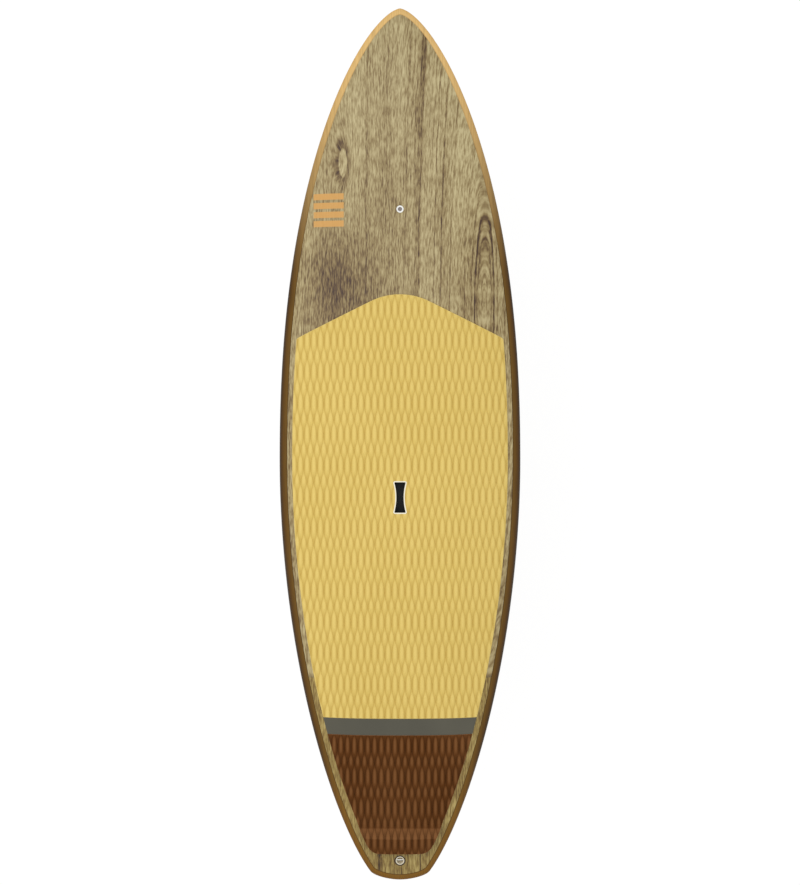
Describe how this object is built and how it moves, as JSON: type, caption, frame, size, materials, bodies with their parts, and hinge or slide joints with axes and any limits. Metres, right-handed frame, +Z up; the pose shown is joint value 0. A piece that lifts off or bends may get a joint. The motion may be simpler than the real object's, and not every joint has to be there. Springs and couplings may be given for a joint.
{
  "type": "stand up paddleboard",
  "caption": "Stand up paddleboard: foam core, wood veneer skins, wrapped rails, grooved traction pads with a tail kick, recessed handle, vent, leash plug and empty fin boxes.",
  "frame": {"origin": "on the floor plane under the middle of the board's length, on its centre line, with the board lying deck up on the flat of its bottom", "axes": "+Y along the board towards the nose, +Z up out of the deck, +X to the right-hand rail seen from above with the nose ahead"},
  "size_m": [0.74, 2.616, 0.1946],
  "materials": {
    "core_foam": "beaded foam",
    "stringer_wood": "plywood",
    "rail_burst": "stained and clear coated",
    "deck_wood": "veneer under satin clear coat",
    "bottom_wood": "veneer under gloss clear coat",
    "pad_straw": "grooved closed-cell foam",
    "pad_slate": "smooth closed-cell foam",
    "pad_brown": "grooved closed-cell foam",
    "kick_foam": "closed-cell foam",
    "handle_plastic": "moulded",
    "bezel_plastic": "moulded",
    "vent_plastic": "moulded",
    "vent_metal": "turned",
    "seal_rubber": "moulded",
    "membrane": "porous film",
    "plug_plastic": "moulded",
    "pin_steel": "polished",
    "collar_plastic": "cast",
    "box_plastic": "moulded",
    "screw_steel": "plain",
    "dense_foam": "dense foam"
  },
  "bodies": {
    "board": {"foam_core_left": "core_foam", "foam_core_right": "core_foam", "stringer": "stringer_wood", "rail_left": "rail_burst", "rail_right": "rail_burst", "deck_veneer": "deck_wood", "tail_deck_veneer": "deck_wood", "bottom_veneer": "bottom_wood", "tail_bottom_veneer": "bottom_wood", "deck_pad": "pad_straw", "pad_stripe": "pad_slate", "tail_pad": "pad_brown", "kick_wedge": "kick_foam", "handle_cup": "handle_plastic", "handle_bezel": "bezel_plastic", "handle_insert": "dense_foam", "vent_body": "vent_plastic", "vent_membrane": "membrane", "vent_insert": "dense_foam", "leash_plug": "plug_plastic", "leash_pin": "pin_steel", "leash_collar": "collar_plastic", "leash_insert": "dense_foam", "fin_box_side_left": "box_plastic", "fin_box_side_right": "box_plastic", "fin_box_quad_left": "box_plastic", "fin_box_quad_right": "box_plastic", "fin_box_centre": "box_plastic", "fin_insert_side_left": "dense_foam", "fin_insert_side_right": "dense_foam", "fin_insert_quad_left": "dense_foam", "fin_insert_quad_right": "dense_foam", "fin_insert_centre": "dense_foam"},
    "vent_seal": {"vent_seal": "seal_rubber"},
    "vent_screw": {"vent_screw": "vent_metal"},
    "fin_screw_side_left": {"fin_screw_side_left": "screw_steel"},
    "fin_screw_side_right": {"fin_screw_side_right": "screw_steel"},
    "fin_screw_quad_left": {"fin_screw_quad_left": "screw_steel"},
    "fin_screw_quad_right": {"fin_screw_quad_right": "screw_steel"},
    "fin_screw_centre": {"fin_screw_centre": "screw_steel"}
  },
  "joints": [
    {"name": "vent_lift", "type": "slide", "parent": "board", "child": "vent_seal", "axis": [0, -0.0744, 0.9972], "range_m": [0, 0.00374]},
    {"name": "vent_turn", "type": "hinge", "parent": "vent_seal", "child": "vent_screw", "pos_m": [0, 0.73024, 0.11395], "axis": [0, -0.0744, 0.9972], "range_deg": [0, 1080]},
    {"name": "fin_screw_side_left_turn", "type": "hinge", "parent": "board", "child": "fin_screw_side_left", "pos_m": [-0.20349, -0.81212, 0.01817], "axis": [0, -0.0793, -0.9968], "continuous": true},
    {"name": "fin_screw_side_right_turn", "type": "hinge", "parent": "board", "child": "fin_screw_side_right", "pos_m": [0.20349, -0.81212, 0.01817], "axis": [0, -0.0793, -0.9968], "continuous": true},
    {"name": "fin_screw_quad_left_turn", "type": "hinge", "parent": "board", "child": "fin_screw_quad_left", "pos_m": [-0.13658, -0.95912, 0.02783], "axis": [0, -0.083, -0.9965], "continuous": true},
    {"name": "fin_screw_quad_right_turn", "type": "hinge", "parent": "board", "child": "fin_screw_quad_right", "pos_m": [0.13658, -0.95912, 0.02783], "axis": [0, -0.083, -0.9965], "continuous": true},
    {"name": "fin_screw_centre_turn", "type": "hinge", "parent": "board", "child": "fin_screw_centre", "pos_m": [0, -1.00413, 0.03136], "axis": [0, -0.0872, -0.9962], "continuous": true}
  ],
  "couplings": [
    {"joint": "vent_turn", "follows": "vent_lift", "rad_per_m": 5026.5}
  ]
}
